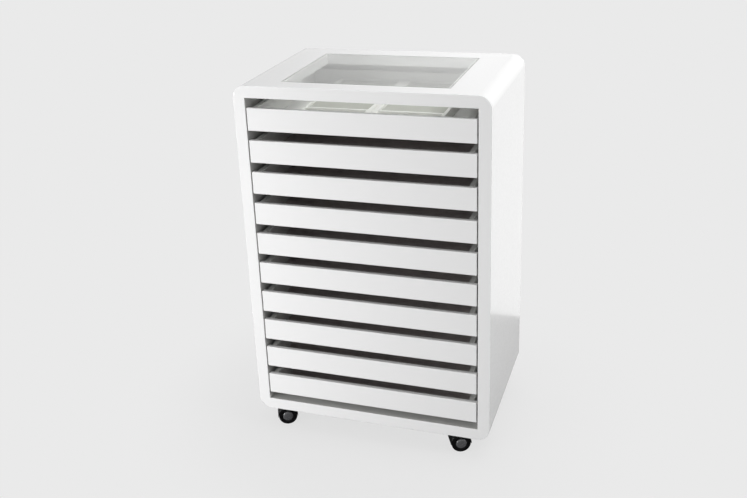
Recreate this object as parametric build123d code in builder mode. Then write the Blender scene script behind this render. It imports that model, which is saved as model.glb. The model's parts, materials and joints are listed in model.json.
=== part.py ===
from build123d import *

import os
from math import asin, cos, radians, sin

# Ten-drawer lens cabinet: a lacquered sleeve of four mitred boards with a glass window in its top,
# ten drawers on nested slides, and four hooded twin-wheel casters.
# Millimetres, +Z up, +X right. The front faces -Y, and the origin is on the floor under the middle.

# Overall
cabinet_width = 625.0
cabinet_depth = 420.0
cabinet_height = 950.0  # floor to top, casters included

# Carcass boards
board_thickness = 30.0
corner_radius = 32.0  # outer radius of the four long edges
back_thickness = 6.0
back_lap = 10.0  # how far the back panel laps into each board

# Window in the top panel
window_width = 415.0
window_depth = 310.0
window_centre_y = -4.0
glass_thickness = 5.0
seam_width = 1.0  # gasket that shows round the glass
ledge_width = 6.0  # ledge that carries the glass
pad_thickness = 0.8  # gasket under the glass

# Drawer fronts and the finger gap above each one
drawer_count = 10
finger_gap = 24.3
lowest_gap = 20.0  # under the lowest front
front_thickness = 12.0
front_side_gap = 3.0
front_edge_radius = 1.0

# Drawer boxes
side_thickness = 12.0
side_drop = 1.0  # side tops below the front's top edge
floor_lip = 3.0  # board left under the bottom's groove
bottom_thickness = 4.0
groove_depth = 5.0
liner_thickness = 1.0
drawer_back_gap = 4.0  # drawer back to back panel

# Slides: a lipped channel on the carcass holds a hat-shaped runner on the drawer
slide_gap = 12.5  # carcass to drawer side
slide_height = 35.0
slide_length = 350.0
slide_setback = 4.0  # behind the drawer front
channel_depth = 9.5
channel_lip = 5.0
sheet = 1.2
slide_clearance = 0.3
screw_slot_count = 3
screw_slot_width = 4.5
screw_slot_length = 9.0

# Display insert: two trays side by side in one drawer, each with a column of cells
insert_drawer = 1
tray_width = 181.5
tray_parting = 1.0
tray_height = 25.0
tray_wall = 2.0
tray_front_gap = 7.0
tray_back_gap = 1.0
cell_count = 4
cell_depth = 5.0
outer_rim = 8.0
inner_rim = 13.0
cell_ridge = 8.0
cell_corner_radius = 4.0

# Casters
caster_inset_x = 72.0  # swivel axis to the carcass's side
caster_inset_y = 50.0  # swivel axis to the carcass's front or back
caster_yaw = 25.0  # degrees that each caster is turned at rest
caster_trail = 15.0  # axle behind the swivel axis
wheel_diameter = 50.0
wheel_width = 15.0
tread_radius = 3.0
wheel_side_gap = 0.5
web_width = 11.0
hood_clearance = 0.5
hood_thickness = 1.5
hood_edge_radius = 0.8
skirt_drop = 1.0  # hood ends below the axle
hub_radius = 8.0
boss_radius = 9.5
boss_rise = 0.5
thrust_gap = 0.3
neck_length = 6.7
stem_diameter = 7.0
stem_length = 16.0
bore_end_gap = 1.0
axle_diameter = 6.0
running_clearance = 0.08
fixed_clearance = 0.05
axle_reach = 10.0  # into each wheel
spoke_recess_depth = 7.0
spoke_recess_radius = 19.0
cap_radius = 14.5
cap_clearance = 0.1
cap_recess = 1.5
cap_dome = 3.0

# Caster plates and their screws
plate_size = 42.0
plate_thickness = 2.5
plate_corner_radius = 6.0
screw_inset = 5.5  # screw centre to the plate's edge
screw_diameter = 4.0
screw_length = 18.0
screw_head_diameter = 8.0
screw_head_height = 2.2
screw_clearance = 0.1

# Worked out from the sizes above
wheel_radius = wheel_diameter / 2
well_radius = wheel_radius + hood_clearance
hood_radius = well_radius + hood_thickness
housing_top = wheel_radius + hood_radius + boss_rise
plate_bottom = housing_top + thrust_gap + neck_length
carcass_bottom = plate_bottom + plate_thickness
wheel_inner_face = web_width / 2 + wheel_side_gap
wheel_outer_face = wheel_inner_face + wheel_width

carcass_height = cabinet_height - carcass_bottom
carcass_centre_z = carcass_bottom + carcass_height / 2
opening_width = cabinet_width - 2 * board_thickness
opening_height = carcass_height - 2 * board_thickness
front_y = -cabinet_depth / 2
back_y = cabinet_depth / 2
back_panel_y = back_y - back_thickness
seat_depth = glass_thickness + pad_thickness

drawer_pitch = (opening_height - lowest_gap) / drawer_count
front_height = drawer_pitch - finger_gap
front_width = opening_width - 2 * front_side_gap
side_height = front_height - side_drop
box_front_y = front_y + front_thickness
box_length = back_panel_y - drawer_back_gap - box_front_y
side_outer_x = opening_width / 2 - slide_gap
side_inner_x = side_outer_x - side_thickness
floor_height = floor_lip + bottom_thickness + liner_thickness
slide_front_y = box_front_y + slide_setback
slide_centre_z = side_height / 2  # above the drawer's underside

os.makedirs("parts", exist_ok=True)


def save(name, *pieces):
    """Writes one node. Pieces given together stay separate solids of that node."""
    node = pieces[0] if len(pieces) == 1 else Compound(children=list(pieces))
    node.label = name
    export_step(node, f"parts/{name}.step")


def facing(y, z=0.0):
    """A sketch plane that faces the front: its x is +X and its y is +Z. Extrude back with a minus."""
    return Plane(origin=(0, y, z), x_dir=(1, 0, 0), z_dir=(0, -1, 0))


def drawer_bottom_z(number):
    """Height of a drawer's underside. Drawer 1 is the top one."""
    return carcass_bottom + board_thickness + lowest_gap + (drawer_count - number) * drawer_pitch


# ---------------------------------------------------------------------------------------------
# Carcass: each board is one mitred side of a rounded sleeve, rebated behind for the back panel
# ---------------------------------------------------------------------------------------------
outer_x, outer_z = cabinet_width / 2, carcass_height / 2
inner_x, inner_z = opening_width / 2, opening_height / 2
top_wedge = [(-outer_x, outer_z), (outer_x, outer_z), (inner_x, inner_z), (-inner_x, inner_z)]
right_wedge = [(outer_x, outer_z), (outer_x, -outer_z), (inner_x, -inner_z), (inner_x, inner_z)]


def sleeve_board(wedge):
    """The part of the sleeve that lies inside the wedge, with its share of the rear rebate."""
    with BuildPart() as board:
        with BuildSketch(facing(front_y, carcass_centre_z)):
            RectangleRounded(cabinet_width, carcass_height, corner_radius)
            Rectangle(opening_width, opening_height, mode=Mode.SUBTRACT)
            Polygon(*wedge, align=None, mode=Mode.INTERSECT)
        extrude(amount=-cabinet_depth)
        with BuildSketch(facing(back_panel_y, carcass_centre_z)):
            Rectangle(opening_width + 2 * back_lap, opening_height + 2 * back_lap)
        extrude(amount=-back_thickness, mode=Mode.SUBTRACT)
    return board.part


top_board = sleeve_board(top_wedge)
with BuildPart() as top_panel:
    add(top_board)
    with BuildSketch(Plane.XY.offset(cabinet_height)):
        with Locations((0, window_centre_y)):
            Rectangle(window_width, window_depth)
    extrude(amount=-seat_depth, mode=Mode.SUBTRACT)
    with BuildSketch(Plane.XY.offset(cabinet_height)):
        with Locations((0, window_centre_y)):
            Rectangle(window_width - 2 * ledge_width, window_depth - 2 * ledge_width)
    extrude(amount=-board_thickness, mode=Mode.SUBTRACT)
save("top_panel", top_panel.part)

swivel_x = cabinet_width / 2 - caster_inset_x
swivel_y = cabinet_depth / 2 - caster_inset_y
screw_spacing = plate_size - 2 * screw_inset

bottom_board = sleeve_board([(x, -z) for x, z in top_wedge])
with BuildPart() as bottom_panel:
    add(bottom_board)
    with BuildSketch(Plane.XY.offset(carcass_bottom)):
        with GridLocations(2 * swivel_x, 2 * swivel_y, 2, 2):
            with GridLocations(screw_spacing, screw_spacing, 2, 2):
                Circle(screw_diameter / 2 + screw_clearance)
    extrude(amount=screw_length - plate_thickness + bore_end_gap, mode=Mode.SUBTRACT)
save("bottom_panel", bottom_panel.part)

save("right_side_panel", sleeve_board(right_wedge))
save("left_side_panel", sleeve_board([(-x, z) for x, z in right_wedge]))

with BuildPart() as back_panel:
    with BuildSketch(facing(back_panel_y, carcass_centre_z)):
        Rectangle(opening_width + 2 * back_lap, opening_height + 2 * back_lap)
    extrude(amount=-back_thickness)
save("back_panel", back_panel.part)

# ---------------------------------------------------------------------------------------------
# Window: the glass lies flush with the top, in an L-section gasket on the ledge
# ---------------------------------------------------------------------------------------------
with BuildPart() as window_gasket:
    with BuildSketch(Plane.XY.offset(cabinet_height - seat_depth)):
        with Locations((0, window_centre_y)):
            Rectangle(window_width, window_depth)
            Rectangle(window_width - 2 * ledge_width, window_depth - 2 * ledge_width,
                      mode=Mode.SUBTRACT)
    extrude(amount=seat_depth)
    with BuildSketch(Plane.XY.offset(cabinet_height)):
        with Locations((0, window_centre_y)):
            Rectangle(window_width - 2 * seam_width, window_depth - 2 * seam_width)
    extrude(amount=-glass_thickness, mode=Mode.SUBTRACT)
save("window_gasket", window_gasket.part)

with BuildPart() as window_glass:
    with BuildSketch(Plane.XY.offset(cabinet_height)):
        with Locations((0, window_centre_y)):
            Rectangle(window_width - 2 * seam_width, window_depth - 2 * seam_width)
    extrude(amount=-glass_thickness)
save("window_glass", window_glass.part)

# ---------------------------------------------------------------------------------------------
# Slides: the runner's brims ride behind the channel's lips, so it can only move along Y
# ---------------------------------------------------------------------------------------------
inside_height = slide_height - 2 * sheet
mouth_height = inside_height - 2 * channel_lip
leg_height = mouth_height - 2 * slide_clearance
brim_height = inside_height - 2 * slide_clearance
brim_offset = channel_depth - sheet - slide_clearance - sheet  # carcass to the brim's near face
hat_depth = slide_gap - brim_offset
screw_slot_pitch = slide_length / screw_slot_count


def screw_slots(side, z, near_x):
    """The row of slots to cut through a web that starts at near_x and faces the cabinet's middle."""
    web_plane = Plane(origin=(side * near_x, slide_front_y + slide_length / 2, z),
                      x_dir=(0, 1, 0), z_dir=(-side, 0, 0))
    with BuildPart() as slots:
        with BuildSketch(web_plane):
            with GridLocations(screw_slot_pitch, 0, screw_slot_count, 1):
                SlotOverall(screw_slot_length, screw_slot_width)
        extrude(amount=sheet)
    return slots.part


def slide_channel(side, z):
    """Lipped channel on the carcass, centred at height z. side is -1 on the left and 1 on the right."""
    slots = screw_slots(side, z, opening_width / 2)
    with BuildPart() as channel:
        with BuildSketch(facing(slide_front_y, z)):
            with Locations((side * (opening_width - channel_depth) / 2, 0)):
                Rectangle(channel_depth, slide_height)
                Rectangle(channel_depth - 2 * sheet, inside_height, mode=Mode.SUBTRACT)
            with Locations((side * (opening_width / 2 - channel_depth + sheet / 2), 0)):
                Rectangle(sheet, mouth_height, mode=Mode.SUBTRACT)
        extrude(amount=-slide_length)
        add(slots, mode=Mode.SUBTRACT)
    return channel.part


def slide_runner(side, z):
    """Hat-shaped runner on the drawer's side, nested in the channel at the same height."""
    hat_centre_x = side * (side_outer_x + hat_depth / 2)
    brim_x = side * (side_outer_x + hat_depth - sheet / 2)
    slots = screw_slots(side, z, side_outer_x + sheet)
    with BuildPart() as runner:
        with BuildSketch(facing(slide_front_y, z)):
            with Locations((hat_centre_x, 0)):
                Rectangle(hat_depth, leg_height)
            with Locations((brim_x, 0)):
                Rectangle(sheet, brim_height)
            with Locations((hat_centre_x + side * sheet, 0)):
                Rectangle(hat_depth, leg_height - 2 * sheet, mode=Mode.SUBTRACT)
        extrude(amount=-slide_length)
        add(slots, mode=Mode.SUBTRACT)
    return runner.part


for side, side_name in ((-1, "left"), (1, "right")):
    channels = [slide_channel(side, drawer_bottom_z(number) + slide_centre_z)
                for number in range(1, drawer_count + 1)]
    save(f"slide_channels_{side_name}", *channels)


# ---------------------------------------------------------------------------------------------
# Drawers: front board, box with a grooved-in bottom and a liner, and a runner on each side
# ---------------------------------------------------------------------------------------------
def drawer_front(z):
    """Front board with its outer edges eased."""
    with BuildPart() as front:
        with BuildSketch(facing(front_y, z + front_height / 2)):
            Rectangle(front_width, front_height)
        extrude(amount=-front_thickness)
        fillet(front.faces().sort_by(Axis.Y)[0].edges(), front_edge_radius)
    return front.part


def drawer_side(side, z):
    """Side board with the groove for the bottom."""
    with BuildPart() as board:
        with BuildSketch(facing(box_front_y, z)):
            with Locations((side * (side_inner_x + side_thickness / 2), side_height / 2)):
                Rectangle(side_thickness, side_height)
            with Locations((side * (side_inner_x + groove_depth / 2), floor_lip + bottom_thickness / 2)):
                Rectangle(groove_depth, bottom_thickness, mode=Mode.SUBTRACT)
        extrude(amount=-box_length)
    return board.part


def drawer_back(z):
    """Back board between the sides, with the same groove."""
    back_inner_y = box_front_y + box_length - side_thickness
    with BuildPart() as board:
        with BuildSketch(facing(back_inner_y, z)):
            with Locations((0, side_height / 2)):
                Rectangle(2 * side_inner_x, side_height)
        extrude(amount=-side_thickness)
        with BuildSketch(facing(back_inner_y, z)):
            with Locations((0, floor_lip + bottom_thickness / 2)):
                Rectangle(2 * side_inner_x, bottom_thickness)
        extrude(amount=-groove_depth, mode=Mode.SUBTRACT)
    return board.part


def drawer_floor(z, thickness, lap):
    """A flat sheet on the drawer's floor that laps into the grooves by lap. Its underside is at z."""
    with BuildPart() as sheet_piece:
        with BuildSketch(facing(box_front_y, z)):
            with Locations((0, thickness / 2)):
                Rectangle(2 * (side_inner_x + lap), thickness)
        extrude(amount=-(box_length - side_thickness + lap))
    return sheet_piece.part


for number in range(1, drawer_count + 1):
    bottom_z = drawer_bottom_z(number)
    save(f"drawer_{number:02d}_front", drawer_front(bottom_z))
    save(
        f"drawer_{number:02d}_box",
        drawer_side(-1, bottom_z),
        drawer_side(1, bottom_z),
        drawer_back(bottom_z),
        drawer_floor(bottom_z + floor_lip, bottom_thickness, groove_depth),
        drawer_floor(bottom_z + floor_lip + bottom_thickness, liner_thickness, 0),
    )
    runners = [slide_runner(side, bottom_z + slide_centre_z) for side in (-1, 1)]
    save(f"drawer_{number:02d}_runners", *runners)

# ---------------------------------------------------------------------------------------------
# Display insert: two moulded trays, hollow underneath, on the top drawer's liner
# ---------------------------------------------------------------------------------------------
tray_length = box_length - side_thickness - tray_front_gap - tray_back_gap
cell_pitch = tray_length / cell_count
cell_length = cell_pitch - cell_ridge
cell_width = tray_width - outer_rim - inner_rim
tray_centre_y = box_front_y + tray_front_gap + tray_length / 2
tray_bottom_z = drawer_bottom_z(insert_drawer) + floor_height
tray_top_z = tray_bottom_z + tray_height


def display_tray(side):
    """One tray: a moulded shell with a column of shallow cells."""
    centre_x = side * (tray_width + tray_parting) / 2
    cell_x = centre_x + side * (inner_rim - outer_rim) / 2
    with BuildPart() as tray:
        with BuildSketch(Plane.XY.offset(tray_bottom_z)):
            with Locations((centre_x, tray_centre_y)):
                Rectangle(tray_width, tray_length)
        extrude(amount=tray_height)
        with BuildSketch(Plane.XY.offset(tray_top_z)):
            with Locations((cell_x, tray_centre_y)):
                with GridLocations(0, cell_pitch, 1, cell_count):
                    RectangleRounded(cell_width, cell_length, cell_corner_radius)
        extrude(amount=-cell_depth, mode=Mode.SUBTRACT)
        with BuildSketch(Plane.XY.offset(tray_bottom_z)):
            with Locations((centre_x, tray_centre_y)):
                Rectangle(tray_width - 2 * tray_wall, tray_length - 2 * tray_wall)
        extrude(amount=tray_height - cell_depth - tray_wall, mode=Mode.SUBTRACT)
    return tray.part


save("display_insert", display_tray(-1), display_tray(1))


# ---------------------------------------------------------------------------------------------
# Casters: plate with neck and stem, hooded housing, axle, and two capped wheels
# ---------------------------------------------------------------------------------------------
def caster_plate(x, y):
    """Mounting plate, swivel neck and stem in one piece."""
    with BuildPart() as plate:
        with BuildSketch(Plane.XY.offset(plate_bottom)):
            with Locations((x, y)):
                RectangleRounded(plate_size, plate_size, plate_corner_radius)
                with GridLocations(screw_spacing, screw_spacing, 2, 2):
                    Circle(screw_diameter / 2 + screw_clearance, mode=Mode.SUBTRACT)
        extrude(amount=plate_thickness)
        with BuildSketch(Plane.XY.offset(plate_bottom)):
            with Locations((x, y)):
                Circle(boss_radius)
        extrude(amount=-neck_length)
        with BuildSketch(Plane.XY.offset(plate_bottom)):
            with Locations((x, y)):
                Circle(stem_diameter / 2)
        extrude(amount=-neck_length - stem_length)
    return plate.part


def caster_screw(x, y):
    """Pan-head screw, up through the plate into the bottom panel."""
    with BuildPart() as screw:
        with BuildSketch(Plane.XY.offset(plate_bottom)):
            with Locations((x, y)):
                Circle(screw_diameter / 2)
        extrude(amount=screw_length)
        with BuildSketch(Plane.XY.offset(plate_bottom)):
            with Locations((x, y)):
                Circle(screw_head_diameter / 2)
        extrude(amount=-screw_head_height)
        fillet(screw.faces().sort_by(Axis.Z)[0].edges(), screw_head_height / 2)
    return screw.part


def caster_axle_plane(x, y):
    """Plane on the axle's middle: its x points forward, to the swivel axis, its y is up."""
    forward = Vector(cos(radians(caster_yaw)), sin(radians(caster_yaw)), 0)
    along_axle = Vector(forward.Y, -forward.X, 0)
    return Plane(origin=Vector(x, y, wheel_radius) - forward * caster_trail,
                 x_dir=forward, z_dir=along_axle)


def caster_housing(x, y):
    """Hood over both wheels, the web between them, and the boss that turns on the stem."""
    axle_plane = caster_axle_plane(x, y)
    with BuildPart() as housing:
        with BuildSketch(axle_plane):
            Circle(hood_radius)
            with Locations((0, -skirt_drop - hood_radius)):
                Rectangle(2 * hood_radius, 2 * hood_radius, mode=Mode.SUBTRACT)
        extrude(amount=wheel_outer_face, both=True)
        fillet(housing.edges().filter_by(GeomType.CIRCLE), hood_edge_radius)
        with BuildSketch(Plane.XY.offset(wheel_radius)):
            with Locations((x, y)):
                Circle(boss_radius)
        extrude(amount=housing_top - wheel_radius)
        for side in (-1, 1):
            with BuildSketch(axle_plane.offset(side * web_width / 2)):
                Circle(well_radius)
                with Locations((0, -well_radius)):
                    Rectangle(2 * well_radius, 2 * well_radius)
            extrude(amount=side * wheel_outer_face, mode=Mode.SUBTRACT)
        with BuildSketch(axle_plane):
            Circle(hub_radius)
        extrude(amount=web_width / 2, both=True)
        with BuildSketch(axle_plane):
            Circle(axle_diameter / 2 + fixed_clearance)
        extrude(amount=web_width, both=True, mode=Mode.SUBTRACT)
        with BuildSketch(Plane.XY.offset(housing_top)):
            with Locations((x, y)):
                Circle(stem_diameter / 2 + running_clearance)
        extrude(amount=thrust_gap - stem_length - bore_end_gap, mode=Mode.SUBTRACT)
    return housing.part


def caster_axle(x, y):
    """Steel pin through the web, into both wheels."""
    with BuildPart() as axle:
        with BuildSketch(caster_axle_plane(x, y)):
            Circle(axle_diameter / 2)
        extrude(amount=wheel_inner_face + axle_reach, both=True)
    return axle.part


def caster_wheel(x, y, side):
    """One wheel: rounded tread, hollow inner face, blind bore, and a recess for its cap."""
    axle_plane = caster_axle_plane(x, y)
    inner_plane = axle_plane.offset(side * wheel_inner_face)
    outer_plane = axle_plane.offset(side * wheel_outer_face)
    with BuildPart() as wheel:
        with BuildSketch(inner_plane):
            Circle(wheel_radius)
        extrude(amount=side * wheel_width)
        fillet(wheel.edges().filter_by(GeomType.CIRCLE), tread_radius)
        with BuildSketch(inner_plane):
            Circle(spoke_recess_radius)
            Circle(hub_radius, mode=Mode.SUBTRACT)
        extrude(amount=side * spoke_recess_depth, mode=Mode.SUBTRACT)
        with BuildSketch(inner_plane):
            Circle(axle_diameter / 2 + running_clearance)
        extrude(amount=side * (axle_reach + running_clearance), mode=Mode.SUBTRACT)
        with BuildSketch(outer_plane):
            Circle(cap_radius)
        extrude(amount=-side * cap_recess, mode=Mode.SUBTRACT)
    return wheel.part


def wheel_cap(x, y, side):
    """Domed cap, seated in the recess in the wheel's outer face."""
    axle_plane = caster_axle_plane(x, y)
    seat = axle_plane.offset(side * (wheel_outer_face - cap_recess))
    profile_plane = Plane(origin=seat.origin, x_dir=axle_plane.y_dir, z_dir=axle_plane.x_dir)
    outward = side * profile_plane.y_dir.dot(axle_plane.z_dir)
    rim_radius = cap_radius - cap_clearance
    sphere_radius = (rim_radius**2 + cap_dome**2) / (2 * cap_dome)
    sphere_drop = cap_recess + cap_dome - sphere_radius
    rim_angle = asin(rim_radius / sphere_radius)
    with BuildPart() as cap:
        with BuildSketch(profile_plane):
            with BuildLine():
                rim = (rim_radius, outward * cap_recess)
                middle = (sphere_radius * sin(rim_angle / 2),
                          outward * (sphere_drop + sphere_radius * cos(rim_angle / 2)))
                crown = (0, outward * (cap_recess + cap_dome))
                Polyline(crown, (0, 0), (rim_radius, 0), rim)
                ThreePointArc(rim, middle, crown)
            make_face()
        revolve(axis=Axis(seat.origin, axle_plane.z_dir))
    return cap.part


plates = []
screws = []
for spot in GridLocations(2 * swivel_x, 2 * swivel_y, 2, 2):
    x, y = spot.position.X, spot.position.Y
    plates.append(caster_plate(x, y))
    for screw_spot in GridLocations(screw_spacing, screw_spacing, 2, 2):
        screws.append(caster_screw(x + screw_spot.position.X, y + screw_spot.position.Y))
    corner = f"{'front' if y < 0 else 'rear'}_{'left' if x < 0 else 'right'}"
    save(f"caster_{corner}_housing", caster_housing(x, y))
    save(f"caster_{corner}_axle", caster_axle(x, y))
    save(f"caster_{corner}_wheel_near", caster_wheel(x, y, 1), wheel_cap(x, y, 1))
    save(f"caster_{corner}_wheel_far", caster_wheel(x, y, -1), wheel_cap(x, y, -1))
save("caster_plates", *plates)
save("caster_screws", *screws)
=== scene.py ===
"""Looks of a ten-drawer lens cabinet: lacquered sleeve, window, drawers, insert and casters.

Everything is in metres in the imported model's frame: +X right, -Y out of the drawer fronts, +Z up.
"""

import json
import logging
import math
from dataclasses import dataclass, field
from enum import Enum
from functools import cache
from typing import Sequence

import bmesh
import bpy
from mathutils import Matrix, Vector

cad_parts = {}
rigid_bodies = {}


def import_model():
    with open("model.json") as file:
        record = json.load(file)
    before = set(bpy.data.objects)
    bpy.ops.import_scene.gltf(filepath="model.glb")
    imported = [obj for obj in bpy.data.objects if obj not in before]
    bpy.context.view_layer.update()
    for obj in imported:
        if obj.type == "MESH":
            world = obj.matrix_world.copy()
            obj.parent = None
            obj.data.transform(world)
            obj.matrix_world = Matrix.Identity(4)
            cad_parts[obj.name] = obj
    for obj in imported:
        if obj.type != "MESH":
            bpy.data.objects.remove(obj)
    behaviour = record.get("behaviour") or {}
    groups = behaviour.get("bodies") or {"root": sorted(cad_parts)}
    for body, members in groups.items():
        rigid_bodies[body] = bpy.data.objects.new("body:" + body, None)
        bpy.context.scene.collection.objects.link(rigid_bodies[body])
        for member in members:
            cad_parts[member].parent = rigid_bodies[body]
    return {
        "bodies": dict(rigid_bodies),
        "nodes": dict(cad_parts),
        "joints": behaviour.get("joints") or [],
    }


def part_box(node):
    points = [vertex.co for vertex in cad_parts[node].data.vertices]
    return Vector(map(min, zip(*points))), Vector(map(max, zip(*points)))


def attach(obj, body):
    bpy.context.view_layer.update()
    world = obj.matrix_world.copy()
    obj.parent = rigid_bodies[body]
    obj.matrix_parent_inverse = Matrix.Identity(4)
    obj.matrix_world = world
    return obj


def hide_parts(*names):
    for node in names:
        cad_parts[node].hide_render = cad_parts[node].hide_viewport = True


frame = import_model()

LOG = logging.getLogger("lens_cabinet")
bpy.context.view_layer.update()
# Blender's wave texture turns through this many radians for each unit at a scale of 1.
WAVE_RADIANS = 20
# Spans across a rounded corner of a tray's cell.
ROUNDED_STEPS = 5
# Softened edges of the parts that keep their CAD form, in millimetres.
PRESSED_EDGE_MM, MOULDED_EDGE_MM, SCREW_EDGE_MM = 0.3, 0.4, 0.2
Point = tuple[float, float, float]
Outline = list[tuple[float, float]]


def mm(value: float) -> float:
    """Millimetres to metres."""
    return value / 1000


def linear(colour: str) -> tuple[float, float, float, float]:
    """Turns an sRGB hex colour into linear RGBA.

    Args:
        colour: Six hex digits, with or without a leading #.

    Returns:
        Linear red, green, blue, and an alpha of 1.
    """
    channels = [int(colour.lstrip("#")[i:i + 2], 16) / 255 for i in (0, 2, 4)]
    low_end, slope, offset, power = 0.04045, 12.92, 0.055, 2.4
    red, green, blue = (
        c / slope if c <= low_end else ((c + offset) / (1 + offset)) ** power for c in channels
    )
    return red, green, blue, 1.0


def add_node(tree: bpy.types.NodeTree, kind: str, settings: dict | None = None,
             inputs: dict | None = None, links: dict | None = None) -> bpy.types.Node:
    """Adds one shader node.

    Args:
        tree: The material's or world's node tree.
        kind: Node type, such as ShaderNodeTexNoise.
        settings: Attribute names and their values.
        inputs: Input names or numbers and their constants.
        links: Input names or numbers and the sockets that feed them.

    Returns:
        The new node.
    """
    node = tree.nodes.new(kind)
    for name, value in (settings or {}).items():
        setattr(node, name, value)
    for name, value in (inputs or {}).items():
        node.inputs[name].default_value = value
    for name, source in (links or {}).items():
        tree.links.new(source, node.inputs[name])
    return node


# ---- Finishes ----
@dataclass(frozen=True)
class Finish:
    """One real material and how its surface was made."""

    label: str
    colour: str
    roughness: float
    metallic: float = 0.0
    coat: float = 0.0
    coat_roughness: float = 0.05
    specular: float = 0.5
    grain_mm: float = 1.0
    grain_height_mm: float = 0.0
    rib_mm: float = 0.0
    roughness_spread: float = 0.0
    shade_spread: float = 0.0

    def make(self) -> bpy.types.Material:
        """Builds the material.

        Returns:
            A node material with the finish's colour, sheen and surface pattern.
        """
        material = bpy.data.materials.new(self.label)
        material.use_nodes = True
        tree = material.node_tree
        shader = tree.nodes["Principled BSDF"]
        sockets = {"Base Color": linear(self.colour), "Roughness": self.roughness,
                   "Metallic": self.metallic, "Specular IOR Level": self.specular,
                   "Coat Weight": self.coat, "Coat Roughness": self.coat_roughness}
        for name, value in sockets.items():
            shader.inputs[name].default_value = value
        self.dress(tree, shader, add_node(tree, "ShaderNodeTexCoord").outputs["Object"])
        return material

    def dress(self, tree: bpy.types.NodeTree, shader: bpy.types.Node,
              place: bpy.types.NodeSocket) -> None:
        """Adds the fine pattern of the surface: grain or ribs in relief, uneven sheen and shade.

        Args:
            tree: The material's node tree.
            shader: The Principled shader.
            place: Object coordinates, in metres.
        """
        noise = add_node(tree, "ShaderNodeTexNoise",
                         inputs={"Scale": 1 / mm(self.grain_mm), "Detail": 2.0},
                         links={"Vector": place})
        relief = grain = noise.outputs["Fac"]
        if self.rib_mm:
            wave = add_node(tree, "ShaderNodeTexWave", settings={"bands_direction": "Y"},
                            inputs={"Scale": math.tau / WAVE_RADIANS / mm(self.rib_mm)},
                            links={"Vector": place})
            relief = wave.outputs["Fac"]
        if self.grain_height_mm:
            bump = add_node(tree, "ShaderNodeBump",
                            inputs={"Strength": 1.0, "Distance": mm(self.grain_height_mm)},
                            links={"Height": relief})
            tree.links.new(bump.outputs["Normal"], shader.inputs["Normal"])
        if self.roughness_spread:
            # Noise keeps mostly between these two values.
            low, high = 0.3, 0.7
            sheen = add_node(tree, "ShaderNodeMapRange", inputs={
                "From Min": low, "From Max": high,
                "To Min": self.roughness - self.roughness_spread,
                "To Max": self.roughness + self.roughness_spread}, links={"Value": grain})
            tree.links.new(sheen.outputs["Result"], shader.inputs["Roughness"])
        if self.shade_spread:
            red, green, blue, alpha = linear(self.colour)
            dark, light = 1 - self.shade_spread, 1 + self.shade_spread
            mix = add_node(tree, "ShaderNodeMix", settings={"data_type": "RGBA"}, inputs={
                6: (red * dark, green * dark, blue * dark, alpha),
                7: (red * light, green * light, blue * light, alpha)}, links={0: grain})
            tree.links.new(mix.outputs[2], shader.inputs["Base Color"])


@dataclass(frozen=True)
class FloatGlass(Finish):
    """Clear float glass with polished faces: sharp reflections and hardly any tint."""

    ior: float = 1.52
    body_tint: str = "#fafbfa"

    def dress(self, tree: bpy.types.NodeTree, shader: bpy.types.Node,
              place: bpy.types.NodeSocket) -> None:
        """Glass to the eye and clear to the lamps, so that they light what lies under the pane.

        Args:
            tree: The material's node tree.
            shader: The Principled shader.
            place: Object coordinates, in metres.
        """
        super().dress(tree, shader, place)
        shader.inputs["Transmission Weight"].default_value = 1.0
        shader.inputs["IOR"].default_value = self.ior
        path = add_node(tree, "ShaderNodeLightPath")
        clear = add_node(tree, "ShaderNodeBsdfTransparent",
                         inputs={"Color": linear(self.body_tint)})
        both = add_node(tree, "ShaderNodeMixShader",
                        links={0: path.outputs["Is Shadow Ray"], 1: shader.outputs[0],
                               2: clear.outputs[0]})
        tree.links.new(both.outputs[0], tree.nodes["Material Output"].inputs["Surface"])


class Slot(Enum):
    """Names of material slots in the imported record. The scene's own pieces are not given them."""

    LACQUER = "lacquered_board"
    BACK = "back_board"
    DRAWER = "drawer_board"
    GASKET = "gasket"
    GLASS = "clear_glass"
    ZINC = "zinc_steel"
    WHEEL = "wheel_nylon"
    TRAY = "tray_plastic"


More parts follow.
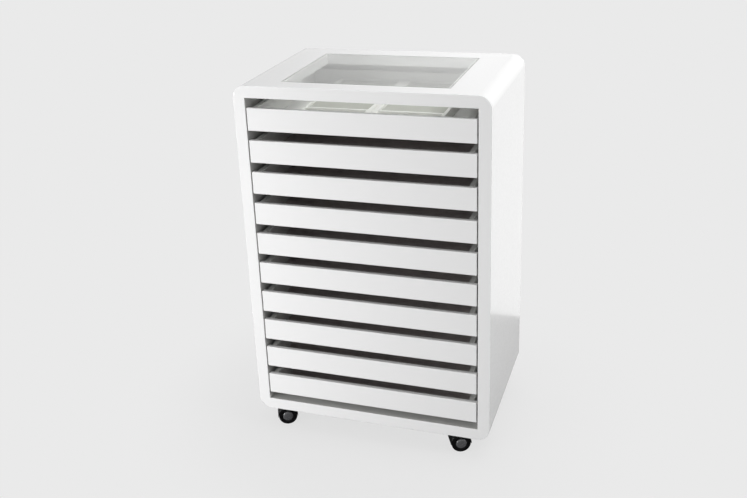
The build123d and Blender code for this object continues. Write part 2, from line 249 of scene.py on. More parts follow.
class Look(Enum):
    """Every finish of the cabinet."""

    # White polyurethane lacquer on MDF, sprayed and polished: smooth gloss with faint orange peel.
    LACQUER = Finish("lacquered MDF", "#f1f1f1", 0.24, coat=0.3, coat_roughness=0.1, grain_mm=5,
                     grain_height_mm=0.012, roughness_spread=0.03)
    # The sleeve's inner faces: duller and darker grey than the outside. one thin coat over grey
    # primer, so they are duller and darker.
    INSIDE = Finish("darker inner face", "#c7c7c5", 0.45, grain_mm=3, grain_height_mm=0.015,
                    roughness_spread=0.05)
    # Melamine-faced chipboard: hard, even, half matt, with a fine pearl texture.
    MELAMINE = Finish("melamine-faced board", "#dadad8", 0.42, grain_mm=1.2,
                      grain_height_mm=0.02, roughness_spread=0.06, shade_spread=0.03)
    # White melamine on the thin back panel. On the top drawer, which the window shows, its white is
    # painted light, so that the drawer looks bright under the pane.
    BACK = Finish("white melamine", "#ececea", 0.45, grain_mm=1.5,
                  grain_height_mm=0.02, roughness_spread=0.05, shade_spread=0.02)
    # Extruded anti-slip rubber mat, warm grey: matt, with fine ribs across the drawer that turn
    # light away in narrow bands. Its grey, darker than the top drawer's white, is partly painted
    # shade, so the drawers stay dark between the fronts.
    MAT_WITH_PAINTED_SHADE = Finish("grey rubber mat with painted shade", "#cfc6c6", 0.75, grain_mm=3, grain_height_mm=0.25, rib_mm=4,
                 shade_spread=0.12)
    # Extruded silicone seal: soft grey and half matt, so it reads as a fine line.
    GASKET = Finish("grey silicone seal", "#b6b6b4", 0.45, grain_mm=0.8, grain_height_mm=0.02,
                    roughness_spread=0.05)
    # White foam tape that the pane lies on: matt and even, a pale line inside the seal.
    TAPE = Finish("white foam tape", "#f2f2f0", 0.7, grain_mm=0.6, grain_height_mm=0.05)
    # Float glass, polished faces.
    GLASS = FloatGlass("float glass", "#f8f9f8", 0.02, grain_mm=60, roughness_spread=0.01)
    # Zinc-plated sheet steel: a cool satin metal with faint spangle.
    ZINC = Finish("zinc-plated steel", "#c4c6c9", 0.34, metallic=1.0, grain_mm=4,
                  grain_height_mm=0.01, roughness_spread=0.08, shade_spread=0.05)
    # Black zinc on pressed steel: dark satin.
    BLACK_ZINC = Finish("black zinc-plated steel", "#4a4a4d", 0.38, metallic=1.0, grain_mm=3,
                        grain_height_mm=0.01, roughness_spread=0.08, shade_spread=0.06)
    # Moulded glass-filled nylon: deep black, satin, with a fine spark-eroded texture.
    NYLON = Finish("moulded black nylon", "#050506", 0.30, specular=0.35, coat=0.1,
                   coat_roughness=0.15, grain_mm=0.9, grain_height_mm=0.02, roughness_spread=0.06)
    # The wheels' running nylon, worn a little duller than the hood.
    WHEEL = Finish("moulded wheel nylon", "#050506", 0.36, specular=0.25, grain_mm=2,
                   grain_height_mm=0.03, roughness_spread=0.08, shade_spread=0.1)
    # Hub cap: moulded ABS in dark grey, polished, so its shoulder mirrors a crescent of light.
    CAP = Finish("dark grey ABS cap", "#525254", 0.26, coat=1.0, coat_roughness=0.12, grain_mm=3,
                 grain_height_mm=0.01, roughness_spread=0.04)
    # Thermoformed white polystyrene tray: soft gloss.
    TRAY = Finish("thermoformed polystyrene", "#e8e8e4", 0.35, grain_mm=6,
                  grain_height_mm=0.03, roughness_spread=0.05)
    # Microfibre pads in the tray's cells: grey-green, quite matt, with a short nap.
    PAD = Finish("microfibre pad", "#b6b7b0", 0.9, grain_mm=0.8, grain_height_mm=0.12,
                 shade_spread=0.05)


@cache
def finish_of(look: Look) -> bpy.types.Material:
    """The material of a look, made when it is first asked for."""
    return look.value.make()


# ---- Mesh tools ----
def place_piece(name: str, shape: bmesh.types.BMesh, looks: Sequence[Look], body: str,
                replaced: Sequence[str] = (),
                sharp_degrees: float = 35) -> bpy.types.Object:
    """Turns a shape into a piece of the cabinet.

    Args:
        name: The piece's name.
        shape: The mesh, in metres in the cabinet's frame. It is freed here.
        looks: Finishes in the order of the faces' material numbers.
        body: The body that the piece rides on.
        replaced: CAD nodes that the piece stands for.
        sharp_degrees: Edges sharper than this stay crisp.

    Returns:
        The new object.
    """
    bmesh.ops.recalc_face_normals(shape, faces=shape.faces)
    mesh = bpy.data.meshes.new(name)
    shape.to_mesh(mesh)
    shape.free()
    mesh.shade_smooth()
    mesh.set_sharp_from_angle(angle=math.radians(sharp_degrees))
    for look in looks:
        mesh.materials.append(finish_of(look))
    piece = bpy.data.objects.new(name, mesh)
    bpy.context.scene.collection.objects.link(piece)
    even_shading(piece)
    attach(piece, body)
    if replaced:
        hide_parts(*replaced)
    LOG.info("%s on %s", name, body)
    return piece


def even_shading(piece: bpy.types.Object) -> None:
    """Lets large flat faces keep their own normal beside rounded edges, as on a polished board.

    Args:
        piece: The object.
    """
    # Larger faces outweigh smaller ones as far as the modifier allows.
    strongest = 100
    shading = piece.modifiers.new("even shading", "WEIGHTED_NORMAL")
    shading.weight = strongest
    shading.keep_sharp = True


def ease_edges(piece: bpy.types.Object, radius_mm: float, steps: int = 2,
               angle_degrees: float = 40) -> None:
    """Rounds a piece's sharp edges.

    Args:
        piece: The object.
        radius_mm: Radius of the rounding.
        steps: Facets across it.
        angle_degrees: Edges flatter than this stay as they are.
    """
    bevel = piece.modifiers.new("eased edges", "BEVEL")
    bevel.width = mm(radius_mm)
    bevel.segments = steps
    bevel.limit_method = "ANGLE"
    bevel.angle_limit = math.radians(angle_degrees)
    # The shading has to come after the bevel.
    shading = piece.modifiers.get("even shading")
    if shading:
        piece.modifiers.remove(shading)
    even_shading(piece)


def add_board(shape: bmesh.types.BMesh, low: Sequence[float], high: Sequence[float],
              radius: float, steps: int = 2) -> None:
    """Adds a board with eased edges.

    Args:
        shape: The mesh that gets it.
        low: Lowest corner.
        high: Highest corner.
        radius: Radius of the edges, in metres.
        steps: Facets across each rounded edge.
    """
    verts = bmesh.ops.create_cube(shape, size=1.0)["verts"]
    for vert in verts:
        vert.co = Vector((a + (b - a) * (c + 0.5)) for a, b, c in zip(low, high, vert.co))
    edges = {edge for vert in verts for edge in vert.link_edges}
    bmesh.ops.bevel(shape, geom=list(edges), offset=radius, segments=steps, profile=0.5,
                    affect="EDGES")


def add_loops(shape: bmesh.types.BMesh, loops: Sequence[Sequence[Point]], caps: bool = False,
              material: int = 0) -> None:
    """Joins rows of points, each row a closed loop of the same count, with quads.

    Args:
        shape: The mesh that gets them.
        loops: The rows, in order.
        caps: Whether the first and last rows are filled.
        material: Material number of the faces.
    """
    rows = [[shape.verts.new(point) for point in loop] for loop in loops]
    count = len(rows[0])
    for near, far in zip(rows, rows[1:]):
        for i in range(count):
            j = (i + 1) % count
            face = shape.faces.new((near[i], near[j], far[j], far[i]))
            face.material_index = material
    if caps:
        for row in (rows[0], rows[-1]):
            shape.faces.new(row).material_index = material


def weld(shape: bmesh.types.BMesh) -> None:
    """Joins points of neighbouring loops that lie on the same spot."""
    same_spot = mm(0.01)
    bmesh.ops.remove_doubles(shape, verts=shape.verts, dist=same_spot)


def circle(radius: float, steps: int) -> Outline:
    """Points round a circle."""
    turns = [math.tau * i / steps for i in range(steps)]
    return [(radius * math.cos(turn), radius * math.sin(turn)) for turn in turns]


def add_turned(shape: bmesh.types.BMesh, profile: Sequence[tuple[float, float]],
               axis: Matrix) -> None:
    """Adds a turned solid with filled ends.

    Args:
        shape: The mesh that gets it.
        profile: Pairs of radius and height along the axis, from end to end.
        axis: Matrix whose local Z is the axis.
    """
    steps = 64
    loops = [[axis @ Vector((x, y, height)) for x, y in circle(radius, steps)]
             for radius, height in profile]
    add_loops(shape, loops, caps=True)


def arc(centre: tuple[float, float], radius: float, start: float, end: float,
        steps: int) -> Outline:
    """Points along an arc, both ends included.

    Args:
        centre: The arc's centre.
        radius: Its radius.
        start: First angle, in degrees.
        end: Last angle, in degrees.
        steps: Number of spans.

    Returns:
        The points.
    """
    angles = [math.radians(start + (end - start) * i / steps) for i in range(steps + 1)]
    return [(centre[0] + radius * math.cos(a), centre[1] + radius * math.sin(a)) for a in angles]


@dataclass(frozen=True)
class Rectangle:
    """A rectangle seen from above."""

    x0: float
    y0: float
    x1: float
    y1: float

    @classmethod
    def between(cls, low: Sequence[float], high: Sequence[float]) -> "Rectangle":
        """The rectangle between two corners of a box."""
        return cls(low[0], low[1], high[0], high[1])

    def inset(self, by: float) -> "Rectangle":
        """The rectangle with each side moved inward."""
        return Rectangle(self.x0 + by, self.y0 + by, self.x1 - by, self.y1 - by)

    def corners(self, z: float) -> list[Point]:
        """Its four corners at a height."""
        return [(self.x0, self.y0, z), (self.x1, self.y0, z), (self.x1, self.y1, z),
                (self.x0, self.y1, z)]

    def rounded(self, radius: float, z: float) -> list[Point]:
        """Its outline at a height, with rounded corners.

        Args:
            radius: Corner radius.
            z: Height.

        Returns:
            The points, from the right rear corner round to the right front one.
        """
        left, right = self.x0 + radius, self.x1 - radius
        front, rear = self.y0 + radius, self.y1 - radius
        centres = ((right, rear), (left, rear), (left, front), (right, front))
        return [(x, y, z) for number, centre in enumerate(centres)
                for x, y in arc(centre, radius, 90 * number, 90 * (number + 1), ROUNDED_STEPS)]

    def beside(self, cell: Sequence[Point]) -> list[Point]:
        """Its outline, with one point beside each point of a rounded cell that lies in it.

        Args:
            cell: The cell's outline, as rounded gives it.

        Returns:
            The points at the cell's height, with each corner repeated where the cell's turns.
        """
        per_corner = len(cell) // 4
        corners = ((self.x1, self.y1), (self.x0, self.y1), (self.x0, self.y0), (self.x1, self.y0))
        loop: list[Point] = []
        for number, (x, y) in enumerate(corners):
            for step in range(per_corner):
                cell_x, cell_y, z = cell[number * per_corner + step]
                beside_x, beside_y = (cell_x, y, z), (x, cell_y, z)
                # Corners 0 and 2 start at the cell's own Y and end at its X, 1 and 3 the reverse.
                first, last = (beside_x, beside_y) if number % 2 else (beside_y, beside_x)
                loop.append(first if step == 0 else last if step == per_corner - 1 else (x, y, z))
        return loop


# ---- Small fasteners ----
@dataclass
class CrossScrew:
    """Pan-head screw with a cross recess. Only its head shows."""

    head_radius: float = mm(3.5)
    head_height: float = mm(1.6)
    # The head's flank as shares of its radius and height, from the seat up.
    flank: tuple[tuple[float, float], ...] = ((0.96, 0.0), (1.0, 0.25), (0.9, 0.7), (0.7, 0.95))
    arm_length: float = mm(2.0)
    arm_width: float = mm(0.9)
    recess: float = mm(1.2)
    recess_floor_share: float = 0.6
    steps: int = 32

    def cross(self, scale: float) -> Outline:
        """The recess's outline.

        Args:
            scale: Share of the full size.

        Returns:
            The points.
        """
        nearly_zero = 1e-6
        points = []
        for i in range(self.steps):
            turn = math.tau * i / self.steps
            quarter = (turn + math.pi / 4) % (math.pi / 2) - math.pi / 4
            along = self.arm_length / math.cos(quarter)
            across = self.arm_width / 2 / max(abs(math.sin(quarter)), nearly_zero)
            reach = scale * min(along, across)
            points.append((reach * math.cos(turn), reach * math.sin(turn)))
        return points

    def add(self, shape: bmesh.types.BMesh, seat: Matrix) -> None:
        """Adds a head.

        Args:
            shape: The mesh that gets it.
            seat: Matrix at the head's seat, whose local Z points out of the surface.
        """
        rings = [(circle(self.head_radius * wide, self.steps), self.head_height * high)
                 for wide, high in self.flank]
        for scale, depth in ((1.0, 0.0), (self.recess_floor_share, self.recess)):
            rings.append((self.cross(scale), self.head_height - depth))
        loops = [[seat @ Vector((x, y, height)) for x, y in ring] for ring, height in rings]
        add_loops(shape, loops, caps=True)


def seat_matrix(place: Sequence[float], outward: Sequence[float]) -> Matrix:
    """Matrix at a place whose local Z points outward."""
    return Matrix.Translation(place) @ Vector(outward).to_track_quat("Z", "Y").to_matrix().to_4x4()


# ---- Carcass ----
@dataclass
class Carcass:
    """Lacquered sleeve, window and back panel."""

    low: Vector = field(default_factory=lambda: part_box("left_side_panel")[0])
    high: Vector = field(default_factory=lambda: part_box("right_side_panel")[1])
    top: float = field(default_factory=lambda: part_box("top_panel")[1].z)
    bottom: float = field(default_factory=lambda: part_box("bottom_panel")[0].z)
    board: float = field(default_factory=lambda: (
        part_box("right_side_panel")[1].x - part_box("right_side_panel")[0].x))
    corner_radius: float = mm(32)
    corner_steps: int = 20
    ledge: float = mm(6)
    pane_edge: float = mm(0.5)
    seal_recess: float = mm(0.4)
    # Air under the pane, so that the white tape below it stays bright.
    tape_gap: float = mm(0.3)
    back_lap: float = mm(10)
    # The back panel sits a hair below the sleeve's edge, so that the low heads stay inside it.
    panel_recess: float = mm(0.8)
    panel_edge: float = mm(0.4)
    screw_margin: float = mm(16)
    screws_across: int = 5
    screws_upright: int = 7
    head_clearance: float = mm(0.1)
    edge_radius_mm: float = 1.0
    body: str = "carcass"

    def outer_outline(self) -> Outline:
        """The sleeve's outside, seen from the front.

        Returns:
            Points in X and Z, which start with the window's two sides on the top run.
        """
        window_low, window_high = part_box("window_gasket")
        r, x, low, high = self.corner_radius, self.high.x, self.bottom, self.top
        corners = (((x - r, high - r), 90, 0), ((x - r, low + r), 0, -90),
                   ((-x + r, low + r), -90, -180), ((-x + r, high - r), 180, 90))
        outline: Outline = [(window_low.x, high), (window_high.x, high)]
        for centre, start, end in corners:
            outline += arc(centre, r, start, end, self.corner_steps)
        return outline

    def shrunk(self, outline: Outline, inset: float) -> Outline:
        """Each point moved to the nearest place of a rectangle that lies inset inside the sleeve.

        Args:
            outline: The outside's points.
            inset: Distance from the outside to the rectangle.

        Returns:
            The moved points.
        """
        half, low, high = self.high.x - inset, self.bottom + inset, self.top - inset
        return [(max(-half, min(half, x)), max(low, min(high, z))) for x, z in outline]

    def sleeve(self) -> None:
        """One mitred and lacquered sleeve, rebated behind and cut out above for the window."""
        window_low, window_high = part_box("window_gasket")
        back_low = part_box("back_panel")[0]
        outside = self.outer_outline()
        inside = self.shrunk(outside, self.board)
        # Inside, the opening is narrower by the ledge that the pane's tape lies on.
        inside[0] = (window_low.x + self.ledge, inside[0][1])
        inside[1] = (window_high.x - self.ledge, inside[1][1])
        lapped = self.shrunk(outside, self.board - self.back_lap)
        front, back = self.low.y, self.high.y
        rows = [(outside, front), (outside, window_low.y), (outside, window_high.y),
                (outside, back), (lapped, back), (lapped, back_low.y), (inside, back_low.y),
                (inside, window_high.y - self.ledge), (inside, window_low.y + self.ledge),
                (inside, front)]
        shape = bmesh.new()
        grid = [[shape.verts.new((x, y, z)) for x, z in outline] for outline, y in rows]
        count = len(outside)
        # Span 0 of these rows is the window's, above and below. The inner rows have one thin coat.
        cut_rows, inner_rows = (1, 7), (6, 7, 8)
        for k, row in enumerate(grid):
            following = grid[(k + 1) % len(grid)]
            for i in range(count):
                if k in cut_rows and i == 0:
                    continue
                j = (i + 1) % count
                face = shape.faces.new((row[i], row[j], following[j], following[i]))
                face.material_index = int(k in inner_rows)
        seat_z = window_low.z
        levels = ((0, self.top), (0, seat_z), (self.ledge, seat_z),
                  (self.ledge, self.top - self.board))
        opening = Rectangle.between(window_low, window_high)
        add_loops(shape, [opening.inset(inset).corners(z) for inset, z in levels])
        weld(shape)
        sleeve = place_piece("carcass_sleeve", shape, [Look.LACQUER, Look.INSIDE], self.body,
                             ("top_panel", "bottom_panel", "left_side_panel",
                                            "right_side_panel"))
        ease_edges(sleeve, self.edge_radius_mm, steps=3)

    def window(self) -> None:
        """Glass pane, the seal round it and the tape under it."""
        low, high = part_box("window_glass")
        pane = bmesh.new()
        add_board(pane, low, high, self.pane_edge)
        place_piece("window_pane", pane, [Look.GLASS], self.body, ("window_glass",))
        outer_low, outer_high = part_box("window_gasket")
        outside, seam = Rectangle.between(outer_low, outer_high), low.x - outer_low.x
        flush, under, seat = high.z - self.seal_recess, low.z - self.tape_gap, outer_low.z
        seal = ((0, seat), (0, flush), (seam, flush), (seam, under))
        tape = ((seam, under), (self.ledge, under), (self.ledge, seat), (0, seat))
        shape = bmesh.new()
        for material, levels in enumerate((seal, tape)):
            add_loops(shape, [outside.inset(inset).corners(z) for inset, z in levels],
                      material=material)
        weld(shape)
        place_piece("window_seal", shape, [Look.GASKET, Look.TAPE], self.body,
                    ("window_gasket",))

    def back(self) -> None:
        """Back panel with its row of screws."""
        low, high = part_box("back_panel")
        panel = bmesh.new()
        add_board(panel, low, (high.x, high.y - self.panel_recess, high.z), self.panel_edge)
        place_piece("back_board", panel, [Look.BACK], self.body, ("back_panel",))
        edge, digits = self.screw_margin, 5
        # The level and the upright rows share the corner screws, and rounding makes these equal.
        spots = set()
        for i in range(self.screws_across):
            x = low.x + edge + (high.x - low.x - 2 * edge) * i / (self.screws_across - 1)
            spots |= {(round(x, digits), low.z + edge), (round(x, digits), high.z - edge)}
        for i in range(self.screws_upright):
            z = low.z + edge + (high.z - low.z - 2 * edge) * i / (self.screws_upright - 1)
            spots |= {(round(low.x + edge, digits), z), (round(high.x - edge, digits), z)}
        screw, heads = CrossScrew(), bmesh.new()
        seat_y = high.y - self.head_clearance - screw.head_height
        for x, z in sorted(spots):
            screw.add(heads, seat_matrix((x, seat_y, z), (0, 1, 0)))
        place_piece("back_screws", heads, [Look.ZINC], self.body)

    def channels(self) -> None:
        """The slides' fixed members keep their CAD form, and get steel and a pressed edge."""
        for side in ("left", "right"):
            dress_node(f"slide_channels_{side}", Look.ZINC, PRESSED_EDGE_MM)

    def build(self) -> None:
        """Makes the whole carcass."""
        self.sleeve()
        self.window()
        self.back()
        self.channels()


def dress_node(name: str, look: Look, edge_mm: float) -> None:
    """Gives a CAD node its finish and softened edges.

    Args:
        name: The CAD node's name.
        look: Its finish.
        edge_mm: Radius of the edges.
    """
    node = frame["nodes"][name]
    node.data.materials.clear()
    node.data.materials.append(finish_of(look))
    ease_edges(node, edge_mm)
    LOG.info("%s dressed", name)


# ---- Drawers ----
@dataclass
class Drawer:
    """One drawer. Its sizes come from its own CAD nodes."""

    number: int
    side_thickness: float = mm(12)
    floor_lip: float = mm(3)
    bottom_thickness: float = mm(4)
    liner_thickness: float = mm(1)
    groove: float = mm(5)
    front_edge: float = mm(1.2)
    board_edge: float = mm(0.6)
    bottom_edge: float = mm(0.2)
    liner_edge: float = mm(0.3)

    @property
    def body(self) -> str:
        """Name of the drawer's body."""
        return f"drawer_{self.number:02d}"

    def front(self) -> None:
        """Lacquered front board."""
        low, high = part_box(f"{self.body}_front")
        shape = bmesh.new()
        add_board(shape, low, high, self.front_edge, steps=3)
        place_piece(f"{self.body}_front_board", shape, [Look.LACQUER], self.body,
                    (f"{self.body}_front",))

    def box(self) -> None:
        """Sides, back, bottom and liner."""
        low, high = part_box(f"{self.body}_box")
        inner_x = high.x - self.side_thickness
        back_y = high.y - self.side_thickness
        floor = low.z + self.floor_lip
        liner = floor + self.bottom_thickness
        shape = bmesh.new()
        for side in (-1, 1):
            x0, x1 = sorted((side * inner_x, side * high.x))
            add_board(shape, (x0, low.y, low.z), (x1, high.y, high.z), self.board_edge)
        add_board(shape, (-inner_x, back_y, low.z), (inner_x, high.y, high.z), self.board_edge)
        add_board(shape, (-inner_x - self.groove, low.y, floor),
                  (inner_x + self.groove, back_y + self.groove, liner), self.bottom_edge)
        # The window shows the top drawer, which is white throughout: painted light, so that it
        # looks bright under the pane. The lower drawers' darker mat is partly painted shade.
        boards, painted_light_lining = ((Look.BACK, Look.BACK) if self.number == 1
                          else (Look.MELAMINE, Look.MAT_WITH_PAINTED_SHADE))
        place_piece(f"{self.body}_boards", shape, [boards], self.body,
                    (f"{self.body}_box",))
        mat = bmesh.new()
        add_board(mat, (-inner_x, low.y, liner), (inner_x, back_y, liner + self.liner_thickness),
                  self.liner_edge)
        place_piece(f"{self.body}_liner", mat, [painted_light_lining], self.body)

    def build(self) -> None:
        """Makes the drawer. The slides' moving members keep their CAD form."""
        self.front()
        self.box()
        dress_node(f"{self.body}_runners", Look.ZINC, PRESSED_EDGE_MM)


@dataclass
class DisplayInsert:
    """Two thermoformed trays side by side, with padded cells."""

    parting: float = mm(1)
    outer_rim: float = mm(8)
    inner_rim: float = mm(13)
    ridge: float = mm(8)
    depth: float = mm(5)
    wall: float = mm(2)
    cells: int = 4
    corner_radius: float = mm(4)
    softness: float = mm(1.2)
    rim_ease: float = mm(0.36)
    edge_mm: float = 0.8
    pad_thickness: float = mm(0.8)
    pad_clearance: float = mm(0.3)
    body: str = "drawer_01"

    def outline(self, side: int) -> Rectangle:
        """A tray's outline.

        Args:
            side: -1 for the left tray and 1 for the right one.

        Returns:
            Its rectangle.
        """
        low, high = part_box("display_insert")
        x0, x1 = sorted((side * self.parting / 2, side * high.x))
        return Rectangle(x0, low.y, x1, high.y)

    def blocks(self, side: int) -> list[tuple[Rectangle, Rectangle]]:
        """The tray's top as a row of blocks, each with its cell.

        Args:
            side: -1 for the left tray and 1 for the right one.

        Returns:
            Pairs of a block and its cell, from front to rear.
        """
        tray = self.outline(side)
        rims = (self.outer_rim, self.inner_rim) if side < 0 else (self.inner_rim, self.outer_rim)
        pitch = (tray.y1 - tray.y0) / self.cells
        blocks = []
        for k in range(self.cells):
            y0, y1 = tray.y0 + k * pitch, tray.y0 + (k + 1) * pitch
            cell = Rectangle(tray.x0 + rims[0], y0 + self.ridge / 2, tray.x1 - rims[1],
                             y1 - self.ridge / 2)
            blocks.append((Rectangle(tray.x0, y0, tray.x1, y1), cell))
        return blocks

    def tray(self, side: int, name: str) -> None:
        """One tray with its column of cells.

        Args:
            side: -1 for the left tray and 1 for the right one.
            name: The side's name.
        """
        low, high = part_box("display_insert")
        rim, floor, soft, eased = high.z, high.z - self.depth, self.softness, self.rim_ease
        cell_wall = ((0, rim), (eased, rim - eased), (soft, floor + soft), (2 * soft, floor))
        skirt = ((0, rim), (0, low.z), (self.wall, low.z), (self.wall, floor - self.wall))
        shape = bmesh.new()
        for block, cell in self.blocks(side):
            loops = [cell.inset(inset).rounded(self.corner_radius, z) for inset, z in cell_wall]
            add_loops(shape, [block.beside(loops[0]), *loops])
            shape.faces.new([shape.verts.new(point) for point in loops[-1]])
        sides = [self.outline(side).inset(inset).corners(z) for inset, z in skirt]
        add_loops(shape, sides)
        shape.faces.new([shape.verts.new(point) for point in sides[-1]])
        weld(shape)
        tray = place_piece(f"display_tray_{name}", shape, [Look.TRAY], self.body,
                           ("display_insert",))
        ease_edges(tray, self.edge_mm, steps=3, angle_degrees=60)

    def pads(self, side: int, name: str) -> None:
        """The pads in one tray's cells.

        Args:
            side: -1 for the left tray and 1 for the right one.
            name: The side's name.
        """
        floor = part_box("display_insert")[1].z - self.depth
        shape = bmesh.new()
        for _, cell in self.blocks(side):
            pad = cell.inset(2 * self.softness + self.pad_clearance)
            add_loops(shape, [pad.rounded(self.corner_radius, z)
                              for z in (floor, floor + self.pad_thickness)], caps=True)
        place_piece(f"tray_pads_{name}", shape, [Look.PAD], self.body)

    def build(self) -> None:
        """Makes both trays."""
        for side, name in ((-1, "left"), (1, "right")):
            self.tray(side, name)
            self.pads(side, name)


# ---- Casters ----
@dataclass
class Caster:
    """One hooded twin-wheel caster. Its place and turn come from its CAD axle and wheel joint."""

    corner: str
    # A hair under the CAD wheel's 25 mm, so that no facet reaches below the floor.
    wheel_radius: float = mm(24.98)
    tread: float = mm(3)
    tread_steps: int = 6
    wheel_inner: float = mm(6)
    wheel_width: float = mm(15)
    # A shallow dish round the cap: its depth, its flat and where its slope ends.
    dish: float = mm(1.2)
    dish_flat: float = mm(0.8)
    dish_reach: float = mm(3)
    rim_flat: float = mm(2)
    cap_radius: float = mm(14.5)
    cap_overlap: float = mm(0.2)
    cap_foot: float = mm(1.5)
    cap_dome: float = mm(3)
    # A nearly flat crown, then a round shoulder that catches a crescent of light.
    cap_shoulder: float = mm(5.5)
    shoulder_from: float = 86
    shoulder_to: float = 8
    shoulder_steps: int = 9
    crown_dip: float = mm(0.5)
    crown_steps: int = 5
    crown_tip: float = mm(0.05)
    hub_radius: float = mm(8)
    spoke_recess: float = mm(7)
    spoke_recess_radius: float = mm(19)
    recess_draft: float = mm(1)
    crisp_degrees: float = 50

    def axle_frame(self) -> Matrix:
        """The axle's place and direction.

        Returns:
            Matrix on its middle, whose local Z points out of the near wheel.
        """
        low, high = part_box(f"caster_{self.corner}_axle")
        spin = next(j for j in frame["joints"]
                    if j["name"] == f"caster_{self.corner}_wheel_near_spin")
        return seat_matrix((low + high) / 2, spin["axis"])

    def rim(self, body: str, axle: Matrix) -> None:
        """A wheel's running part, with a dish outside and a spoke recess inside.

        Args:
            body: The wheel's body.
            axle: Matrix on the axle, whose local Z points out of this wheel.
        """
        inner, outer = self.wheel_inner, self.wheel_inner + self.wheel_width
        r, t, steps = self.wheel_radius, self.tread, self.tread_steps
        profile = [(self.cap_radius - self.cap_overlap, outer - self.dish),
                   (self.cap_radius + self.dish_flat, outer - self.dish),
                   (self.cap_radius + self.dish_reach, outer - self.dish / 2),
                   (r - t - self.rim_flat, outer)]
        profile += [(r - t + x, outer - t + y) for x, y in arc((0, 0), t, 90, 0, steps)]
        profile += [(r - t + x, inner + t + y) for x, y in arc((0, 0), t, 0, -90, steps)]
        profile += [(self.spoke_recess_radius, inner),
                    (self.spoke_recess_radius - self.recess_draft, inner + self.spoke_recess),
                    (self.hub_radius + self.recess_draft, inner + self.spoke_recess),
                    (self.hub_radius, inner)]
        shape = bmesh.new()
        add_turned(shape, profile, axle)
        rim = place_piece(f"{body}_rim", shape, [Look.WHEEL], body, (body,),
                          self.crisp_degrees)
        ease_edges(rim, PRESSED_EDGE_MM, angle_degrees=self.crisp_degrees)

    def cap(self, body: str, axle: Matrix) -> None:
        """A wheel's domed hub cap.

        Args:
            body: The wheel's body.
            axle: Matrix on the axle, whose local Z points out of this wheel.
        """
        outer = self.wheel_inner + self.wheel_width
        crown, shoulder = outer + self.cap_dome, self.cap_shoulder
        flat = self.cap_radius - shoulder
        shares = [i / self.crown_steps for i in range(self.crown_steps)]
        profile = [(max(flat * share, self.crown_tip), crown - self.crown_dip * share ** 2)
                   for share in shares]
        turn = arc((0, 0), shoulder, self.shoulder_from, self.shoulder_to, self.shoulder_steps)
        profile += [(flat + x, crown - self.crown_dip - shoulder + y) for x, y in turn]
        profile.append((self.cap_radius, outer - self.cap_foot))
        shape = bmesh.new()
        add_turned(shape, profile, axle)
        place_piece(f"{body}_cap", shape, [Look.CAP], body)

    def build(self) -> None:
        """Makes the caster. Hood and axle keep their CAD form."""
        near = self.axle_frame()
        dress_node(f"caster_{self.corner}_housing", Look.NYLON, MOULDED_EDGE_MM)
        dress_node(f"caster_{self.corner}_axle", Look.ZINC, PRESSED_EDGE_MM)
        for which, axle in (("near", near), ("far", near @ Matrix.Rotation(math.pi, 4, "X"))):
            body = f"caster_{self.corner}_wheel_{which}"
            self.rim(body, axle)
            self.cap(body, axle)


# ---- Studio ----
@dataclass
class Lamp:
    """One soft box: its place, where it points, its size in metres and its power in watts."""

    name: str
    place: Point
    target: Point
    width: float
    height: float
    power: float
    # Whether glossy surfaces mirror it, and whether it lights matt ones.
    mirrored: bool = True
    lights: bool = True

    def build(self) -> bpy.types.AreaLight:
        """Hangs the soft box.

        Returns:
            Its light.
        """
        light = bpy.data.lights.new(self.name, "AREA")
        light.shape = "RECTANGLE"
        light.size, light.size_y = self.width, self.height
        light.energy = self.power
        lamp = bpy.data.objects.new(self.name, light)
        lamp.visible_camera = False
        lamp.visible_glossy = self.mirrored
        lamp.visible_diffuse = self.lights
        lamp.location = self.place
        aim = Vector(self.target) - Vector(self.place)
        lamp.rotation_euler = aim.to_track_quat("-Z", "Y").to_euler()
        bpy.context.scene.collection.objects.link(lamp)
        return light


@dataclass
class LightWall:
    """A big upright diffuser behind the cabinet, brightest in the middle.

    The glossy top, glass and right side mirror it. Its foot is the edge that the right side shows.
    """

    # Places along X, in metres, and the radiance there.
    radiances: tuple[tuple[float, float], ...] = (
        (-1.0, 0.56), (-0.5, 0.58), (-0.3, 0.66), (-0.1, 0.80), (0.1, 0.90), (0.25, 0.84),
        (0.42, 0.70), (1.0, 0.64))
    back: float = 0.59
    height: float = 2.0

    def build(self) -> None:
        """Stands the diffuser and grades its light from side to side."""
        left, right = self.radiances[0][0], self.radiances[-1][0]
        width, middle, level = right - left, (left + right) / 2, self.height / 2
        light = Lamp("light wall", (middle, self.back, level), (middle, self.back - 1, level),
                     width, self.height, math.pi * width * self.height).build()
        light.use_nodes = True
        tree = light.node_tree
        place = add_node(tree, "ShaderNodeNewGeometry")
        across = add_node(tree, "ShaderNodeSeparateXYZ", links={0: place.outputs["Parametric"]})
        ramp = add_node(tree, "ShaderNodeValToRGB", links={"Fac": across.outputs["X"]})
        ramp.color_ramp.interpolation = "EASE"
        stops = ramp.color_ramp.elements
        while len(stops) < len(self.radiances):
            stops.new(1.0)
        # The lamp faces -Y, so its own X runs from right to left.
        for stop, (x, radiance) in zip(stops, reversed(self.radiances)):
            stop.position = (right - x) / width
            stop.color = (radiance, radiance, radiance, 1)
        tree.links.new(ramp.outputs["Color"], tree.nodes["Emission"].inputs["Color"])


